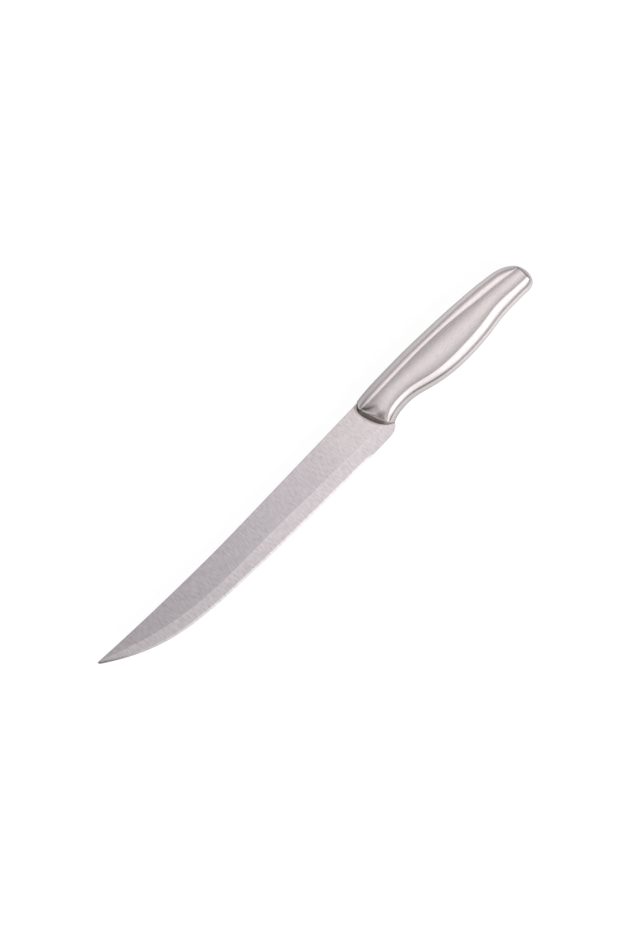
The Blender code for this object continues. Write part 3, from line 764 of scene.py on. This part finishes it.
handleFinish = {
    "fineMarks": (700, 7000, 7000),
    "broadMarks": (380, 1700, 1700),
    "clouds": (90, 120, 120),
    "skin": [(0.56, 0.523, 0.523), (0.76, 0.712, 0.712)],
    "noseTop": (0.64, 0.575, 0.545),
    "noseFoot": (0.70, 0.61, 0.575),
    # colour of the shade painted in the pressed step
    "stepPaintedShade": (0.17, 0.17, 0.165),
    # colour of the highlight painted along the nose's rim
    "rimHighlightColour": (0.92, 0.87, 0.85),
    "roughness": (0.17, 0.22),
    "noseRougher": 0.15,
    "specularTint": (0.62, 0.60, 0.61),
    "stretch": 0.2,
    "bump": (0.06, 0.00002),
}


def handleSteel(spec):
    make = NodeMaker("handleSteel")
    streaks, _, rough = brushGrain(make, spec)
    nose, paintedShade, rimHighlight = [make.add("ShaderNodeAttribute", attribute_name=name).outputs["Fac"]
                         for name in ("noseFace", "stepPaintedShade", "rimPaintedHighlight")]
    colour = make.tint(make.remap(streaks, 0.3, 0.7, 0, 1), *spec["skin"])
    colour = make.tint(make.remap(nose, 0.02, 0.2, 0, 1), colour, spec["noseTop"])
    colour = make.tint(make.remap(nose, 0.4, 1.0, 0, 1), colour, spec["noseFoot"])
    # painted shade in the pressed step
    colour = make.tint(paintedShade, colour, spec["stepPaintedShade"])
    # painted highlight along the nose's rim
    colour = make.tint(rimHighlight, colour, spec["rimHighlightColour"])
    make.join(colour, make.shader.inputs["Base Color"])
    rough = make.math("ADD", rough, make.math("MULTIPLY", nose, spec["noseRougher"]))
    make.join(rough, make.shader.inputs["Roughness"])
    make.shader.inputs["Specular Tint"].default_value = (*spec["specularTint"], 1)
    brushed(make, spec["stretch"])
    make.join(make.bump(streaks, *spec["bump"]), make.shader.inputs["Normal"])
    return make.material


cementFinish = {
    "grains": (900, 900, 900),
    "colours": [(0.22, 0.20, 0.18), (0.34, 0.31, 0.27)],
    "roughness": (0.75, 0.95),
    "bump": (0.3, 0.0002),
}


def cement(spec):
    make = NodeMaker("cement")
    grains = make.stretchedNoise(spec["grains"], 5.0)
    colour = make.tint(make.remap(grains, 0.35, 0.65, 0, 1), *spec["colours"])
    make.join(colour, make.shader.inputs["Base Color"])
    make.join(make.remap(grains, 0.3, 0.7, *spec["roughness"]), make.shader.inputs["Roughness"])
    make.join(make.bump(grains, *spec["bump"]), make.shader.inputs["Normal"])
    return make.material


def dress(item, material):
    item.data.materials.append(material)


bladePiece = makeBlade(blade)
dress(bladePiece, bladeSteel(bladeFinish))
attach(bladePiece, "root")
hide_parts("blade")
print("blade", len(bladePiece.data.polygons), "faces")

leftMesh = makeHandleHalf(handle)
steelOnHandle = handleSteel(handleFinish)
leftPiece = addSheetThickness(linkObject("handleShellLeft", leftMesh), handle)
rightPiece = addSheetThickness(linkObject("handleShellRight", turnedOver(leftMesh)), handle)
for piece, node in ((leftPiece, "handle_shell_left"), (rightPiece, "handle_shell_right")):
    dress(piece, steelOnHandle)
    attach(piece, "root")
    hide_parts(node)
print("handle", len(leftMesh.polygons), "faces a side")

# the cement block keeps its own mesh, and only gets its material
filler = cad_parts["tang_filler"]
cementGrey = cement(cementFinish)
if not filler.material_slots:
    filler.data.materials.append(cementGrey)
for place in filler.material_slots:
    place.material = cementGrey
print("cement block")


floor = {
    "halfSize": 6.0,
    "grey": 0.22,
    "glow": 0.90,
    # how bright it is in the steel, where shade and light are painted on it: a place in metres, another,
    # and the brightness at each
    "besideY": (-0.012, 0.012, 0.76, 1.0),
    "alongX": (-0.13, -0.05, 1.10, 0.78),
    "beyondX": (-0.185, -0.163, 0.55, 1.0),
}


def makeFloor(spec):
    mesh = bpy.data.meshes.new("floorSheet")
    shape = bmesh.new()
    bmesh.ops.create_grid(shape, x_segments=1, y_segments=1, size=spec["halfSize"])
    shape.to_mesh(mesh)
    shape.free()
    sheet = linkObject("floorSheet", mesh)
    make = NodeMaker("floorWhite")
    make.shader.inputs["Base Color"].default_value = (spec["grey"], spec["grey"], spec["grey"], 1)
    make.shader.inputs["Roughness"].default_value = 0.9
    make.shader.inputs["Specular IOR Level"].default_value = 0.1
    path = make.add("ShaderNodeLightPath")
    mirroredRay = make.math("MAXIMUM", path.outputs["Is Glossy Ray"], path.outputs["Is Transmission Ray"])
    # in the steel the floor is painted darker beside the spine, near the nose and past the butt, and
    # lighter toward the butt: painted shade and light
    beside = make.remap(make.axis("Y"), *spec["besideY"])
    along = make.remap(make.axis("X"), *spec["alongX"])
    beyond = make.remap(make.axis("X"), *spec["beyondX"])
    mirrored = make.math("MULTIPLY", make.math("MULTIPLY", beside, along), beyond)
    plain = make.math("MULTIPLY", path.outputs["Is Camera Ray"], spec["glow"])
    glow = make.math("MAXIMUM", plain, make.math("MULTIPLY", mirroredRay, mirrored))
    make.shader.inputs["Emission Color"].default_value = (1, 1, 1, 1)
    make.join(glow, make.shader.inputs["Emission Strength"])
    mesh.materials.append(make.material)


# glow is the brightness of the cloth, and fade its levels from the lower end to the upper
softbox = {
    "name": "edgeSideBox",
    "place": (-0.05, 0.88, 0.66),
    "aim": (0, 0, 0),
    "size": (1.6, 0.9),
    "glow": 1.08,
    "colour": (1, 1, 1),
    "fade": [(0.0, 0.35), (0.22, 0.97), (0.6, 1.0), (1.0, 0.68)],
}


def makeLight(spec):
    lamp = bpy.data.lights.new(spec["name"], "AREA")
    lamp.shape = "RECTANGLE"
    lamp.size, lamp.size_y = spec["size"]
    lamp.energy = spec["glow"] * math.pi * lamp.size * lamp.size_y
    lamp.color = spec["colour"]
    lamp.use_nodes = True
    tree = lamp.node_tree
    split = tree.nodes.new("ShaderNodeSeparateXYZ")
    fade = tree.nodes.new("ShaderNodeValToRGB")
    marks = fade.color_ramp.elements
    while len(marks) < len(spec["fade"]):
        marks.new(0.5)
    for mark, (where, level) in zip(marks, spec["fade"]):
        mark.position = where
        mark.color = (level, level, level, 1)
    tree.links.new(tree.nodes.new("ShaderNodeNewGeometry").outputs["Parametric"], split.inputs["Vector"])
    tree.links.new(split.outputs["Y"], fade.inputs["Fac"])
    tree.links.new(fade.outputs["Color"], tree.nodes["Emission"].inputs["Color"])
    item = linkObject(spec["name"], lamp)
    place = Vector(spec["place"])
    item.location = place
    item.rotation_euler = (place - Vector(spec["aim"])).to_track_quat("Z", "Y").to_euler()
    item.visible_camera = False


# brightness of the room by direction: overhead it falls from the butt's side to the tip's side
room = {
    "alongKnife": [(-1.0, 0.42), (-0.85, 0.26), (-0.65, 0.27), (-0.46, 0.50), (-0.3, 1.40), (-0.12, 1.20),
                   (-0.045, 1.32), (-0.01, 1.08), (0.015, 0.94), (0.043, 0.81), (0.072, 0.66),
                   (0.10, 0.60), (0.14, 0.625), (0.2, 0.63), (0.33, 0.36), (0.5, 0.26), (0.65, 0.42),
                   (1.0, 0.55)],
    "acrossKnife": [(-1.0, 0.60), (-0.955, 0.46), (-0.92, 0.55), (-0.88, 0.95), (-0.79, 1.22),
                    (-0.71, 1.05), (-0.65, 0.62), (-0.55, 0.48), (-0.3, 0.44), (-0.17, 0.47),
                    (-0.12, 0.60), (-0.06, 0.90), (0.03, 1.02), (0.10, 0.94), (0.19, 0.68),
                    (0.3, 0.61), (0.45, 0.53), (0.9, 0.50), (1.0, 0.45)],
    "colour": (1.0, 0.965, 0.97),
    "behindFloor": 1.05,
}


def curveOverDirection(tree, value, stops):
    # a ramp from -1 to 1 whose levels are the stops' brightness
    place = tree.nodes.new("ShaderNodeMapRange")
    place.inputs["From Min"].default_value = -1
    ramp = tree.nodes.new("ShaderNodeValToRGB")
    ramp.color_ramp.interpolation = "EASE"
    marks = ramp.color_ramp.elements
    while len(marks) < len(stops):
        marks.new(0.5)
    for mark, (where, level) in zip(marks, stops):
        mark.position = (where + 1) / 2
        mark.color = (level, level, level, 1)
    tree.links.new(value, place.inputs["Value"])
    tree.links.new(place.outputs["Result"], ramp.inputs["Fac"])
    return ramp.outputs["Color"]


def makeWorld(spec):
    world = bpy.data.worlds.new("softRoom")
    bpy.context.scene.world = world
    world.use_nodes = True
    tree = world.node_tree
    background = tree.nodes["Background"]
    direction = tree.nodes.new("ShaderNodeTexCoord")
    split = tree.nodes.new("ShaderNodeSeparateXYZ")
    tree.links.new(direction.outputs["Generated"], split.inputs["Vector"])
    along = curveOverDirection(tree, split.outputs["X"], spec["alongKnife"])
    across = curveOverDirection(tree, split.outputs["Y"], spec["acrossKnife"])
    level, white, brighter = [tree.nodes.new("ShaderNodeMath") for _ in range(3)]
    for node, operation in ((level, "MULTIPLY"), (white, "MULTIPLY"), (brighter, "MAXIMUM")):
        node.operation = operation
    tree.links.new(along, level.inputs[0])
    tree.links.new(across, level.inputs[1])
    # past the floor's edge the camera sees plain white, and the steel still mirrors the room
    path = tree.nodes.new("ShaderNodeLightPath")
    tree.links.new(path.outputs["Is Camera Ray"], white.inputs[0])
    white.inputs[1].default_value = spec["behindFloor"]
    tree.links.new(level.outputs[0], brighter.inputs[0])
    tree.links.new(white.outputs[0], brighter.inputs[1])
    background.inputs["Color"].default_value = (*spec["colour"], 1)
    tree.links.new(brighter.outputs[0], background.inputs["Strength"])


# straight above the knife, turned as in the photograph; pixel is its size on the knife in millimetres
camera = {
    "middleX": 0.21,
    "middleY": -6.13,
    "distance": 0.95,
    "pixel": 0.552,
    "imageHeight": 931,
    "sensor": 36.0,
    "turn": 46.3,
}


def makeCamera(spec):
    lens = bpy.data.cameras.new("overhead")
    item = linkObject("overhead", lens)
    turn = math.radians(spec["turn"])
    right = Vector((-math.cos(turn), math.sin(turn), 0))
    up = Vector((-math.sin(turn), -math.cos(turn), 0))
    facing = Matrix((right, up, Vector((0, 0, 1)))).transposed()
    item.matrix_world = Matrix.Translation((
        spec["middleX"] * mm, spec["middleY"] * mm, knifeZero[2] + spec["distance"],
    )) @ facing.to_4x4()
    tall = spec["imageHeight"] * spec["pixel"] * mm
    lens.sensor_width = spec["sensor"]
    lens.lens = spec["sensor"] * spec["distance"] / tall
    lens.clip_end = 50
    bpy.context.scene.camera = item


makeFloor(floor)
makeLight(softbox)
makeWorld(room)
makeCamera(camera)
bpy.context.scene.view_settings.view_transform = "Standard"
print("stage, lights and camera")
